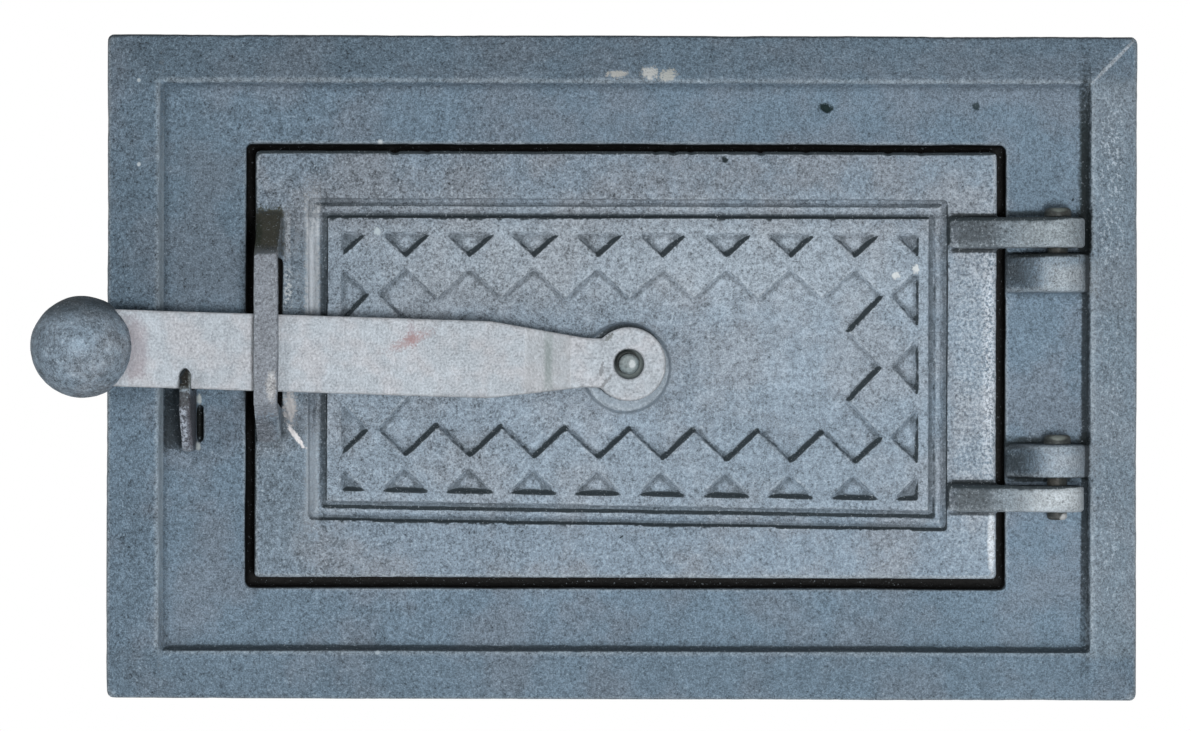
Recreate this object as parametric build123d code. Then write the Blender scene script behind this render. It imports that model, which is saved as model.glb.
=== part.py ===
from build123d import *
import math
import os

# Cast iron oven door in its wall frame, in millimetres. The outside of the flange's back face
# lies in the plane Y = 0, +Z is up, and the front of the door looks along -Y.
# The pieces are drawn in a front view: x to the right, y up, z out of the wall.
# Plane.XZ then stands that view upright.

# Frame: a flange with a hipped rim round a sunk band, and a collar behind it
frame_width = 270.0
frame_height = 174.0
frame_corner = 1.8
rim_left = 15.2
rim_right = 13.6
rim_top = 13.8
rim_bottom = 14.0
rim_edge = 2.5
rim_crest = 6.5
rim_riser = 1.2
rim_flat = 1.0
band_level = 3.5
opening_corner = 0.8
collar_depth = 30.0
collar_wall = 4.0
ledge_reach = 4.0
ledge_reach_left = 11.0
ledge_thickness = 3.0
anchor_hole = 6.0
anchor_spacing = 70.0
anchor_depth = 20.0
let_in = 0.5

# Door: a plate with a turned-back rim, hung 1 mm right of the middle
door_width = 193.8
door_height = 111.5
door_x = 1.0
door_y = 0.75
door_level = 6.0
door_plate = 5.0
door_corner = 1.2
door_edge_round = 1.0
door_rim_depth = 4.0
door_rim_width = 4.0
gap_left = 2.6
gap_right = 2.4
gap_top = 1.8
gap_bottom = 2.7
seat_gap = 0.2

# Moulding: a trough with a bead in it, whose lower run falls to the right
moulding_left = 16.5
moulding_right = 15.3
moulding_top = 14.9
moulding_bottom = 17.6
moulding_fall = 2.3
trough_width = 4.8
trough_depth = 1.5
bead_width = 2.2
bead_height = 1.0
bead_break = 0.55

# Relief: a chain of lozenges round a sunk field
lozenges_across = 9
lozenges_down = 4
relief_depth = 1.5
relief_draft = 28.0
relief_left = 3.6
relief_right = 2.7
relief_top = 3.9
relief_bottom = 2.65
lozenge_height = 15.7
neck_width = 2.6

# Hinges: straps on the door, lugs on the frame between them, one pin through each pair
pin_offset = 12.9
pin_diameter = 5.2
pin_fit = 0.05
pin_stand = 2.0
pin_break = 0.6
pin_head_diameter = 7.0
pin_head_height = 2.4
pin_head_round = 1.1
pin_head_gap = 0.1
knuckle_radius = 7.0
knuckle_lift = 0.5
edge_break = 0.6
strap_reach = 12.7
strap_foot = 6.0
strap_step = 1.3
strap_inset_upper = 17.2
strap_height_upper = 7.9
hinge_gap_upper = 1.5
lug_height_upper = 10.0
strap_inset_lower = 17.7
strap_height_lower = 7.0
hinge_gap_lower = 1.9
lug_height_lower = 8.7
lug_rise = 1.5

# Lever: a flat steel bar with an eye, a joggle and a ball knob
pivot_x = 1.8
pivot_y = 0.9
boss_radius = 12.0
boss_height = 4.5
boss_draft = 8.0
boss_round = 0.9
lever_tilt = 1.65
bar_width = 20.0
bar_thickness = 4.0
eye_radius = 9.6
neck_bar = 12.8
neck_end = 11.5
neck_round = 12.0
taper_end = 36.0
taper_round = 20.0
joggle_start = 15.0
joggle_end = 27.0
lever_lift = 8.0
lever_play = 0.1
tongue_width = 12.0
tongue_length = 12.0
tongue_fit = 0.05
ball_overhang = 4.74
ball_radius = 13.2
ball_clearance = 0.4

# Pivot: a rivet through eye, boss and plate, peened over a washer
rivet_diameter = 4.4
rivet_fit = 0.05
peen_diameter = 5.4
peen_height = 1.9
peen_round = 0.75
eye_sink_diameter = 7.8
eye_sink_depth = 1.6
washer_diameter = 14.0
washer_thickness = 2.0
rivet_head_diameter = 9.5
rivet_head_height = 2.6
rivet_head_round = 2.0

# Bow: the bridge on the door that the bar moves in, over a notch in the plate
bow_inset = 0.9
bow_width = 6.2
bow_play_top = 0.9
bow_play_bottom = 4.5
bow_leg_top = 12.0
bow_leg_bottom = 9.5
bow_thickness = 3.0
bow_clearance = 0.6
bow_shoulder_top = 1.0
bow_shoulder_bottom = -1.2
bow_round = 1.8
bow_slant = 1.8

# Hook: the upright catch plate on the frame that the bar drops into
hook_offset = 14.2
hook_thickness = 2.8
hook_height = 16.2
hook_tip_width = 3.0
hook_tip_rise = 5.6
hook_tip_round = 1.2
hook_nose_drop = 5.7
hook_nose = 1.2
hook_heel = 9.0
hook_clearance = 0.5
hook_rest = 0.1
hook_slot_width = 1.6
hook_slot_height = 10.0
hook_slot_drop = 8.9
hook_slot_depth = 2.5

# Places that follow from the sizes above
door_left = door_x - door_width / 2
door_right = door_x + door_width / 2
door_top = door_y + door_height / 2
door_bottom = door_y - door_height / 2
opening_left = door_left - gap_left
opening_right = door_right + gap_right
opening_top = door_top + gap_top
opening_bottom = door_bottom - gap_bottom
plate_back = door_level - door_plate
door_back = plate_back - door_rim_depth
ledge_front = door_back - seat_gap
pin_x = opening_right + pin_offset
pin_level = band_level + knuckle_lift + knuckle_radius
upper_strap_top = door_top - strap_inset_upper
upper_lug_top = upper_strap_top - strap_height_upper - hinge_gap_upper
upper_lug_bottom = upper_lug_top - lug_height_upper
lower_strap_bottom = door_bottom + strap_inset_lower
lower_strap_top = lower_strap_bottom + strap_height_lower
lower_lug_top = lower_strap_top + hinge_gap_lower + lug_height_lower
tilt = math.radians(lever_tilt)
lifted = math.radians(lever_tilt + lever_lift)
eye_back = door_level + boss_height + lever_play
ball_level = rim_edge + ball_radius + ball_clearance
ball_distance = (pivot_x + frame_width / 2 + ball_overhang) / math.cos(tilt)
bar_back = ball_level - bar_thickness / 2
bar_front = ball_level + bar_thickness / 2
hook_x = opening_left - hook_offset
bow_x = door_left + bow_inset
bow_reach = pivot_x - bow_x
bow_top = pivot_y + bow_reach * math.tan(lifted) + bar_width / 2 / math.cos(lifted) + bow_play_top
bow_bottom = pivot_y + bow_reach * math.tan(tilt) - bar_width / 2 / math.cos(tilt) - bow_play_bottom


def block(left, right, low, high, back, front):
    """A box between two heights above the wall, from its four sides."""
    place = Pos((left + right) / 2, (low + high) / 2, (back + front) / 2)
    return place * Box(right - left, high - low, front - back)


def outline(left, right, low, high, corner=0.0):
    """A rectangle in the front view, with rounded corners if any."""
    width, height = right - left, high - low
    shape = RectangleRounded(width, height, corner) if corner else Rectangle(width, height)
    return Pos((left + right) / 2, (low + high) / 2) * shape


def across(profile, low, high):
    """A profile in x and z, drawn out between two heights in y."""
    return extrude(Plane.XZ.offset(-high) * profile, amount=high - low)


def sideways(profile, left, width):
    """A profile in y and z, drawn out to the right from x = left."""
    return extrude(Plane.YZ.offset(left) * profile, amount=width)


def upright(solid):
    """Stand the front view up, facing -Y."""
    return Plane.XZ.location * solid


def barrel_hull(left, right, back, front):
    """The profile of a knuckle round the pin, joined to a foot at its left."""
    knuckle = Pos(pin_x, pin_level) * Circle(knuckle_radius)
    foot = Pos((left + right) / 2, (back + front) / 2) * Rectangle(right - left, front - back)
    return make_hull(knuckle.edges() + foot.edges())


def pin_hole(low, high):
    hole = Pos(pin_x, pin_level) * Circle(pin_diameter / 2 + pin_fit)
    return across(hole, low, high)


def lug(top, height):
    """A hinge lug, standing on the sunk band between the opening and the rim."""
    left, right = opening_right, frame_width / 2 - rim_right + rim_riser
    profile = barrel_hull(left, right, band_level, band_level + lug_rise)
    body = across(profile, top - height, top)
    ends = body.faces().sort_by(Axis.Y)
    body = chamfer(ends[0].edges() + ends[-1].edges(), edge_break)
    return body + block(left, right, top - height, top, band_level - let_in, band_level + edge_break)


def strap(top, height):
    """A hinge strap, stepped up from the door's border and ramped to its knuckle."""
    left = door_right - strap_reach
    under = band_level + knuckle_lift
    profile = barrel_hull(left, left + strap_foot, under, door_level + strap_step)
    body = across(profile, top - height, top)
    ends = body.faces().sort_by(Axis.Y)
    return chamfer(ends[0].edges() + ends[-1].edges(), edge_break)


def hook_floor():
    """The height that the bar's lower edge has at the hook, less its play."""
    reach = pivot_x - hook_x - hook_thickness / 2
    return pivot_y + reach * math.tan(tilt) - bar_width / 2 / math.cos(tilt) - hook_rest


def hook():
    """The catch plate, seen from the side: a foot, a floor and an upturned tip."""
    floor = hook_floor()
    slot_front = bar_front + hook_clearance
    front = slot_front + hook_tip_width
    points = [
        (floor - hook_height, band_level - let_in),
        (floor, band_level - let_in),
        (floor, slot_front),
        (floor + hook_tip_rise, slot_front),
        (floor + hook_tip_rise, slot_front + hook_nose),
        (floor, front),
        (floor - hook_nose_drop, front),
        (floor - hook_height, band_level + hook_heel),
    ]
    profile = make_face(Polyline(*points, close=True))
    tip = profile.vertices().group_by(Axis.X)[-1].sort_by(Axis.Y)[-1:]
    nose = profile.vertices().sort_by(Axis.Y)[-2:]
    profile = fillet(tip + nose, hook_tip_round)
    return sideways(profile, hook_x - hook_thickness / 2, hook_thickness)


def make_frame():
    half_w, half_h = frame_width / 2, frame_height / 2
    outer = outline(-half_w, half_w, -half_h, half_h)
    inset = [side - rim_riser - rim_flat for side in (rim_left, rim_right, rim_bottom, rim_top)]
    crest = outline(-half_w + inset[0], half_w - inset[1], -half_h + inset[2], half_h - inset[3])
    band = (-half_w + rim_left, half_w - rim_right, -half_h + rim_bottom, half_h - rim_top)
    lip = (band[0] - rim_riser, band[1] + rim_riser, band[2] - rim_riser, band[3] + rim_riser)

    body = extrude(outer, amount=rim_edge)
    body += loft([Pos(0, 0, rim_edge) * outer, Pos(0, 0, rim_crest) * crest])
    body -= loft([Pos(0, 0, band_level) * outline(*band), Pos(0, 0, rim_crest) * outline(*lip)])
    upright_corners = body.edges().filter_by(Axis.Z).group_by(Axis.Z)[0]
    body = fillet(upright_corners, frame_corner)

    gap = (opening_left, opening_right, opening_bottom, opening_top)
    sleeve = outline(gap[0] - collar_wall, gap[1] + collar_wall, gap[2] - collar_wall,
                     gap[3] + collar_wall, opening_corner + collar_wall)
    body += extrude(sleeve, amount=-collar_depth)
    bore = extrude(outline(*gap, opening_corner), amount=collar_depth + rim_crest)
    body -= Pos(0, 0, -collar_depth) * bore

    mouth = outline(gap[0] + ledge_reach_left, gap[1] - ledge_reach, gap[2] + ledge_reach,
                    gap[3] - ledge_reach, opening_corner)
    shelf = outline(gap[0] - collar_wall / 2, gap[1] + collar_wall / 2, gap[2] - collar_wall / 2,
                    gap[3] + collar_wall / 2) - mouth
    body += Pos(0, 0, ledge_front - ledge_thickness) * extrude(shelf, amount=ledge_thickness)

    middle = (opening_top + opening_bottom) / 2
    for y in (middle - anchor_spacing / 2, middle + anchor_spacing / 2):
        drill = Cylinder(anchor_hole / 2, frame_width, rotation=(0, 90, 0))
        body -= Pos(0, y, -anchor_depth) * drill

    body += lug(upper_lug_top, lug_height_upper)
    body += lug(lower_lug_top, lug_height_lower)
    for top, height in ((upper_lug_top, lug_height_upper), (lower_lug_top, lug_height_lower)):
        body -= pin_hole(top - height, top)

    body += hook()
    slot_x = hook_x + hook_thickness / 2 + hook_slot_width / 2
    slot_y = hook_floor() - hook_slot_drop
    slot = SlotOverall(hook_slot_height, hook_slot_width, rotation=90)
    body -= Pos(slot_x, slot_y, band_level - hook_slot_depth) * extrude(slot, amount=hook_slot_depth + 1)
    return body


def moulding_line():
    """The middle line of the trough, a four-sided figure whose lower side falls to the right."""
    left, right = door_left + moulding_left, door_right - moulding_right
    top, low = door_top - moulding_top, door_bottom + moulding_bottom
    points = [(left, low), (right, low - moulding_fall), (right, top), (left, top)]
    return make_face(Polyline(*points, close=True))


def lozenge(x, y, half_x, half_y):
    """A diamond grown by the neck that joins it to its neighbours."""
    grow = neck_width / 2
    wide, tall = half_x + grow * half_x / half_y, half_y + grow
    points = [(x - wide, y), (x, y - tall), (x + wide, y), (x, y + tall)]
    return make_face(Polyline(*points, close=True))


def relief():
    """What is sunk inside the moulding: a central field and a ring of triangles."""
    side = trough_width / 2
    left = door_left + moulding_left + side + relief_left
    right = door_right - moulding_right - side - relief_right
    top = door_top - moulding_top - side - relief_top
    low = door_bottom + moulding_bottom + side + relief_bottom
    fall = moulding_fall * (right - left) / (door_width - moulding_left - moulding_right)
    base = make_face(Polyline((left, low), (right, low - fall), (right, top), (left, top), close=True))

    pitch = (right - left) / lozenges_across
    half_y = lozenge_height / 2
    for i in range(lozenges_across):
        x = left + pitch * (i + 0.5)
        foot = low - fall * (i + 0.5) / lozenges_across
        base -= lozenge(x, top - half_y, pitch / 2, half_y)
        base -= lozenge(x, foot + half_y, pitch / 2, half_y)
    for x, foot in ((left + pitch / 2, low), (right - pitch / 2, low - fall)):
        step = (top - foot - lozenge_height) / (lozenges_down - 1)
        for j in range(1, lozenges_down - 1):
            base -= lozenge(x, top - half_y - step * j, pitch / 2, step / 2)
    return base


def bow():
    """The bridge that the bar moves in, with a straight front and sloped legs."""
    inner = bar_front + bow_clearance
    front = inner + bow_thickness
    root = door_level - door_plate / 2
    points = [
        (bow_bottom - bow_leg_bottom, root),
        (bow_bottom - bow_leg_bottom, door_level),
        (bow_bottom - bow_shoulder_bottom, front),
        (bow_top + bow_shoulder_top, front),
        (bow_top + bow_leg_top, door_level),
        (bow_top + bow_leg_top, root),
    ]
    profile = make_face(Polyline(*points, close=True))
    corners = profile.vertices().group_by(Axis.Y)[-1]
    profile = fillet(corners, bow_round)
    body = sideways(profile, bow_x, bow_width)
    gap = make_face(Polyline(
        (bow_bottom, root - 1), (bow_bottom, door_level), (bow_bottom + bow_slant, inner),
        (bow_top, inner), (bow_top, root - 1), close=True))
    return body - sideways(gap, bow_x - 1, bow_width + 2)


def make_door():
    face = outline(door_left, door_right, door_bottom, door_top, door_corner)
    body = Pos(0, 0, plate_back) * extrude(face, amount=door_plate)
    rim = face - outline(door_left + door_rim_width, door_right - door_rim_width,
                         door_bottom + door_rim_width, door_top - door_rim_width)
    body += Pos(0, 0, door_back) * extrude(rim, amount=door_rim_depth)
    body = fillet(body.faces().sort_by(Axis.Z)[-1].edges(), door_edge_round)

    line = moulding_line()
    half = trough_width / 2
    trough = offset(line, half, kind=Kind.INTERSECTION) - offset(line, -half, kind=Kind.INTERSECTION)
    floor = door_level - trough_depth
    body -= Pos(0, 0, floor) * extrude(trough, amount=trough_depth)
    half = bead_width / 2
    bead = offset(line, half, kind=Kind.INTERSECTION) - offset(line, -half, kind=Kind.INTERSECTION)
    ring = Pos(0, 0, floor - let_in) * extrude(bead, amount=bead_height + let_in)
    ring = chamfer(ring.faces().sort_by(Axis.Z)[-1].edges(), bead_break)
    body += ring

    for face in relief().faces():
        body -= Pos(0, 0, door_level) * extrude(face, amount=-relief_depth, taper=relief_draft)

    boss_root = door_level - relief_depth - let_in
    boss = extrude(Pos(pivot_x, pivot_y, boss_root) * Circle(boss_radius),
                   amount=door_level + boss_height - boss_root, taper=boss_draft)
    body += fillet(boss.faces().sort_by(Axis.Z)[-1].edges(), boss_round)

    body -= block(door_left - 1, bow_x + bow_width, bow_bottom, bow_top, door_back - 1, door_level + 1)
    body += bow()
    for top, height in ((upper_strap_top, strap_height_upper), (lower_strap_top, strap_height_lower)):
        body += strap(top, height)
        body -= pin_hole(top - height, top)
    rivet_hole = Cylinder(rivet_diameter / 2 + rivet_fit, 6 * door_plate)
    return body - Pos(pivot_x, pivot_y, door_level) * rivet_hole


def make_pin(top, bottom):
    """A hinge pin with a round head over its seat and a broken edge at its foot."""
    centre = Pos(pin_x, pin_level)
    under = top + pin_head_gap
    shank = across(centre * Circle(pin_diameter / 2), bottom, under)
    shank = chamfer(shank.faces().sort_by(Axis.Y)[0].edges(), pin_break)
    head = across(centre * Circle(pin_head_diameter / 2), under, under + pin_head_height)
    return shank + fillet(head.faces().sort_by(Axis.Y)[-1].edges(), pin_head_round)


def lever_outline():
    """The bar in the front view, untilted, with its pivot at the origin."""
    half, neck = bar_width / 2, neck_bar / 2
    bar_end = ball_distance - math.sqrt(ball_radius ** 2 - half ** 2) + let_in
    points = [
        (0, neck), (-neck_end, neck), (-taper_end, half), (-bar_end, half),
        (-bar_end, -half), (-taper_end, -half), (-neck_end, -neck), (0, -neck),
    ]
    bar = make_face(Polyline(*points, close=True))
    near_neck = bar.vertices().filter_by_position(Axis.X, -neck_end - let_in, -neck_end + let_in)
    bar = fillet(near_neck, neck_round)
    near_taper = bar.vertices().filter_by_position(Axis.X, -taper_end - let_in, -taper_end + let_in)
    bar = fillet(near_taper, taper_round)
    tongue = Pos(-bar_end - tongue_length / 2, 0) * Rectangle(tongue_length + 2 * let_in, tongue_width)
    return bar + tongue + Circle(eye_radius)


def make_lever():
    """The bar, cut from its front and side views, tilted to lie in the hook."""
    front = extrude(lever_outline(), amount=bar_front + 5)
    far, near = -ball_distance, eye_radius + 1
    eye_front = eye_back + bar_thickness
    side = make_face(Polyline(
        (near, eye_back), (-joggle_start, eye_back), (-joggle_end, bar_back), (far, bar_back),
        (far, bar_front), (-joggle_end, bar_front), (-joggle_start, eye_front), (near, eye_front),
        close=True))
    body = front & across(side, -bar_width, bar_width)
    body -= Pos(0, 0, eye_front) * Cylinder(rivet_diameter / 2 + rivet_fit, 3 * bar_thickness)
    body -= Pos(0, 0, eye_front) * Cylinder(eye_sink_diameter / 2, 2 * eye_sink_depth)
    return Pos(pivot_x, pivot_y) * Rot(0, 0, -lever_tilt) * body


def make_ball():
    """The knob, with a slot for the bar's tongue and shoulders."""
    body = Pos(-ball_distance, 0, ball_level) * Sphere(ball_radius)
    grow = Plane.XY * offset(lever_outline(), tongue_fit, kind=Kind.INTERSECTION)
    slot = extrude(grow, amount=bar_front + tongue_fit) - block(
        -2 * ball_distance, ball_distance, -bar_width, bar_width, -1, bar_back - tongue_fit)
    return Pos(pivot_x, pivot_y) * Rot(0, 0, -lever_tilt) * (body - slot)


def make_rivet():
    """The pivot, its front end peened inside the eye's counterbore."""
    sink_floor = eye_back + bar_thickness - eye_sink_depth + lever_play
    washer_back = plate_back - washer_thickness
    shank = Pos(0, 0, washer_back) * extrude(Circle(rivet_diameter / 2), amount=sink_floor - washer_back)
    peen = Pos(0, 0, sink_floor) * extrude(Circle(peen_diameter / 2), amount=peen_height)
    peen = fillet(peen.faces().sort_by(Axis.Z)[-1].edges(), peen_round)
    head = Pos(0, 0, washer_back - rivet_head_height) * extrude(
        Circle(rivet_head_diameter / 2), amount=rivet_head_height)
    head = fillet(head.faces().sort_by(Axis.Z)[0].edges(), rivet_head_round)
    return Pos(pivot_x, pivot_y) * (shank + peen + head)


def make_washer():
    ring = Circle(washer_diameter / 2) - Circle(rivet_diameter / 2 + rivet_fit)
    body = extrude(ring, amount=washer_thickness)
    return Pos(pivot_x, pivot_y, plate_back - washer_thickness) * body


parts = {
    "frame": make_frame(),
    "door": make_door(),
    "hinge_pin_upper": make_pin(upper_strap_top, upper_lug_bottom),
    "hinge_pin_lower": make_pin(lower_lug_top, lower_strap_bottom - pin_stand),
    "latch_lever": make_lever(),
    "ball_knob": make_ball(),
    "pivot_rivet": make_rivet(),
    "pivot_washer": make_washer(),
}

os.makedirs("parts", exist_ok=True)
for node, solid in parts.items():
    export_step(upright(solid), f"parts/{node}.step")
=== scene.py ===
import bpy
import math
import numpy as np
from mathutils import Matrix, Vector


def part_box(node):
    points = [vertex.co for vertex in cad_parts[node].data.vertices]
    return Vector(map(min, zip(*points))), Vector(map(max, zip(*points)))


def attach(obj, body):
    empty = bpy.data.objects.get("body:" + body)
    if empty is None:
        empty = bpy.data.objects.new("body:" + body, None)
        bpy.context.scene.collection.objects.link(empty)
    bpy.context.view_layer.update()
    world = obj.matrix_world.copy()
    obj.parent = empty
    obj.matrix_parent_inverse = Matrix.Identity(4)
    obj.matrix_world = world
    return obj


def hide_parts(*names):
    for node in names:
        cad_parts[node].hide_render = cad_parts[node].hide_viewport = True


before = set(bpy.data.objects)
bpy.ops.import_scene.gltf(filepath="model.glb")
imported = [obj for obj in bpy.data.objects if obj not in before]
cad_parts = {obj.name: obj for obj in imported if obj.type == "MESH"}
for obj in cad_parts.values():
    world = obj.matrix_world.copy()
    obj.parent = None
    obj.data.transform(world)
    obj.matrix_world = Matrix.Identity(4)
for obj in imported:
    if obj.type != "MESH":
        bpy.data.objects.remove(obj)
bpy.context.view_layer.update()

# Sizes in the recipes are in mm in the front view: right, up, and out of the wall.
mm = 0.001


# Noises of the finishes: how many to a mm, detail and roughness
castNoises = {"cloud": (0.035, 3.0, 0.55), "mottle": (0.32, 3.0, 0.6), "grain": (1.2, 3.0, 0.65),
              "sand": (2.6, 1.0), "warmth": (0.05, 4.0, 0.6)}
steelNoises = {"cloud": (0.07, 4.0, 0.6), "blotch": (0.4, 3.0, 0.55), "grain": (1.6, 2.0, 0.6),
               "lines": (1.0, 3.0, 0.6), "warmth": (0.12, 3.0, 0.6)}
castWarm, steelWarm = (0.42, 0.62), (0.40, 0.65)
# how the rolling lines are drawn out, the least tone, and the normals that count as the back
rolling, darkest, facingBack = (0.06, 1.0, 1.6), 0.12, (0.35, 0.75)


# Shader wiring
class Wire:
    # one socket of a material; arithmetic on it adds Math nodes
    def __init__(self, tree, socket=None):
        self.tree = tree
        self.socket = socket

    def add(self, kind, settings=None, sockets=None, take=0):
        # any other node: its settings first, then the values or links of its sockets
        node = self.tree.nodes.new(kind)
        for name, value in (settings or {}).items():
            setattr(node, name, value)
        for key, value in (sockets or {}).items():
            if isinstance(value, Wire):
                self.tree.links.new(value.socket, node.inputs[key])
            else:
                node.inputs[key].default_value = value
        return Wire(self.tree, node.outputs[take]) if node.outputs else None

    def maths(self, operation, first, second):
        return self.add("ShaderNodeMath", {"operation": operation}, {0: first, 1: second})

    def __add__(self, other):
        return self.maths("ADD", self, other)

    def __radd__(self, other):
        return self.maths("ADD", other, self)

    def __sub__(self, other):
        return self.maths("SUBTRACT", self, other)

    def __rsub__(self, other):
        return self.maths("SUBTRACT", other, self)

    def __mul__(self, other):
        return self.maths("MULTIPLY", self, other)

    def above(self, other):
        return self.maths("MAXIMUM", self, other)

    def step(self, low, high):
        # smooth step from 0 at low to 1 at high
        return self.add("ShaderNodeMapRange", {"interpolation_type": "SMOOTHSTEP"},
                        {0: self, 1: low, 2: high})


def mixed(factor, first, second):
    # two colours, each a tuple or a wire, mixed by a value
    ends = [end if isinstance(end, Wire) else (*end, 1.0) for end in (first, second)]
    return factor.add("ShaderNodeMix", {"data_type": "RGBA"}, {0: factor, 6: ends[0], 7: ends[1]}, take=2)


def toned(colour, tone):
    # a colour made lighter or darker by a value round 1
    grey = tone.add("ShaderNodeCombineXYZ", None, {0: tone, 1: tone, 2: tone})
    return tone.add("ShaderNodeVectorMath", {"operation": "MULTIPLY"}, {0: colour, 1: grey})


def noise(place, perMm, detail=2.0, roughness=0.5):
    return place.add("ShaderNodeTexNoise", None,
                     {"Vector": place, "Scale": perMm, "Detail": detail, "Roughness": roughness})


def stretched(place, x, y, z):
    return place.add("ShaderNodeVectorMath", {"operation": "MULTIPLY"}, {0: place, 1: (x, y, z)})


def part(vector, axis):
    return vector.add("ShaderNodeSeparateXYZ", None, {0: vector}, take=axis)


# what a mark has unless it says otherwise, and how softly it ends past its heights
markFray, markEdge, heightSoft = 1.2, (0.6, 1.15), 0.4


def spot(place, rags, mark):
    # 1 inside a ragged oval or rectangle on the front, 0 outside it and past its heights
    x, z = mark["at"]
    wide, tall = mark["size"]
    away = place.add("ShaderNodeVectorMath", {"operation": "SUBTRACT"}, {0: place, 1: (x, 0.0, z)})
    if "turn" in mark:
        away = place.add("ShaderNodeVectorRotate", {"rotation_type": "Y_AXIS"},
                         {"Vector": away, "Angle": math.radians(mark["turn"])})
    away = stretched(away, 1 / wide, 0.0, 1 / tall)
    if mark.get("square"):
        away = place.add("ShaderNodeVectorMath", {"operation": "ABSOLUTE"}, {0: away})
        reach = part(away, 0).above(part(away, 2))
    else:
        reach = place.add("ShaderNodeVectorMath", {"operation": "LENGTH"}, {0: away}, take=1)
    rag = rags[mark.get("rag", "mid")]
    outside = (reach + (rag - 0.5) * mark.get("fray", markFray)).step(*mark.get("edge", markEdge))
    cover = (1 - outside) * mark.get("share", 1.0)
    if "speckle" in mark:
        cover = cover * rag.step(*mark["speckle"])
    if "heights" in mark:
        low, high = mark["heights"]
        height = 0 - part(place, 1)
        cover = cover * height.step(low - heightSoft, low + heightSoft)
        cover = cover * (1 - height.step(high - heightSoft, high + heightSoft))
    return cover


def painted(colour, place, rags, marks):
    for mark in marks:
        colour = mixed(spot(place, rags, mark), colour, mark["colour"])
    return colour


def newFinish(name):
    material = bpy.data.materials.new(name)
    material.use_nodes = True
    material.node_tree.nodes.clear()
    coords = Wire(material.node_tree).add("ShaderNodeTexCoord", take=3)
    place = coords.add("ShaderNodeVectorMath", {"operation": "SCALE"}, {0: coords, "Scale": 1 / mm})
    return material, place


def endFinish(place, sockets):
    shader = place.add("ShaderNodeBsdfPrincipled", None, sockets)
    place.add("ShaderNodeOutputMaterial", None, {"Surface": shader})


def castIron(name, look):
    # sand-cast iron: mottled, grainy, bright where it is rubbed, dark with dirt and painted shade in the
    # hollows, with painted shade on faces turned away from the lamp and painted glints
    material, place = newFinish(name)
    ridge = place.add("ShaderNodeAttribute", {"attribute_name": "ridge"}, take=2)
    cloud, mottle, grain, sand = [
        noise(place, *castNoises[key]) for key in ("cloud", "mottle", "grain", "sand")]
    tone = 1 + (cloud - 0.5) * look["cloud"] + (mottle - 0.5) * look["mottle"]
    tone = tone + (grain - 0.5) * look["grain"] + (sand - 0.5) * look["sand"]
    # painted light: paler towards the right and darker towards the top, where the lamp's light falls off
    tone = tone + part(place, 0) * (look["lightAndToneToRight"] / 100) + part(place, 2) * (look["paintedLightToTop"] / 100)
    warmth = noise(place, *castNoises["warmth"]).step(*castWarm)
    rubbed = (ridge + (grain - 0.5) * 0.5).step(*look["rubbedFrom"]) * look["rubbed"]
    # dirt and painted shade in the hollows and creases
    dirtAndShade = (0 - ridge + (mottle - 0.5) * 0.3).step(*look["hollowDirtAndShadeFrom"]) * look["hollowDirtAndShade"]
    colour = mixed(rubbed, mixed(warmth, look["cool"], look["warm"]), look["bright"])
    rags = {"coarse": mottle, "mid": grain, "fine": sand}
    colour = toned(painted(colour, place, rags, look["marks"]), tone.above(darkest))
    # painted shade on the faces that turn towards the shaded side, away from the lamp
    facing = place.add("ShaderNodeTexCoord", take=1)
    shadedSide = place.add("ShaderNodeVectorMath", {"operation": "DOT_PRODUCT"},
                      {0: facing, 1: look["shadedSide"]}, take=1)
    dirtAndShade = dirtAndShade.above((shadedSide + (mottle - 0.5) * 0.4).step(*look["shadedSideFrom"]) * look["facingShade"])
    # neither dirt nor painted shade where these marks lie
    for mark in look["freeOfDirtAndShade"]:
        dirtAndShade = dirtAndShade * (1 - spot(place, rags, mark))
    colour = painted(mixed(dirtAndShade, colour, look["dark"]), place, rags, look["spots"])
    # painted glints: bright flecks where the grain catches the light
    glint = (sand * grain).step(*look["glintFrom"]) * look["glint"]
    colour = mixed(glint, colour, look["bright"])
    # nothing that marks the front shows on the plain back
    colour = mixed(part(facing, 1).step(*facingBack), colour, toned(look["behind"], tone.above(darkest)))
    height = mottle * look["mottleHeight"] + grain * look["grainHeight"] + sand * look["sandHeight"]
    normal = place.add("ShaderNodeBump", None, {"Height": height, "Distance": mm, "Strength": 1.0})
    roughness = look["roughness"] + (grain - 0.5) * 0.18 + dirtAndShade * 0.2 - rubbed * 0.12
    endFinish(place, {"Base Color": colour, "Roughness": roughness, "Normal": normal,
                      "Metallic": look["metal"], "Specular IOR Level": look["specular"]})
    return material


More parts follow.
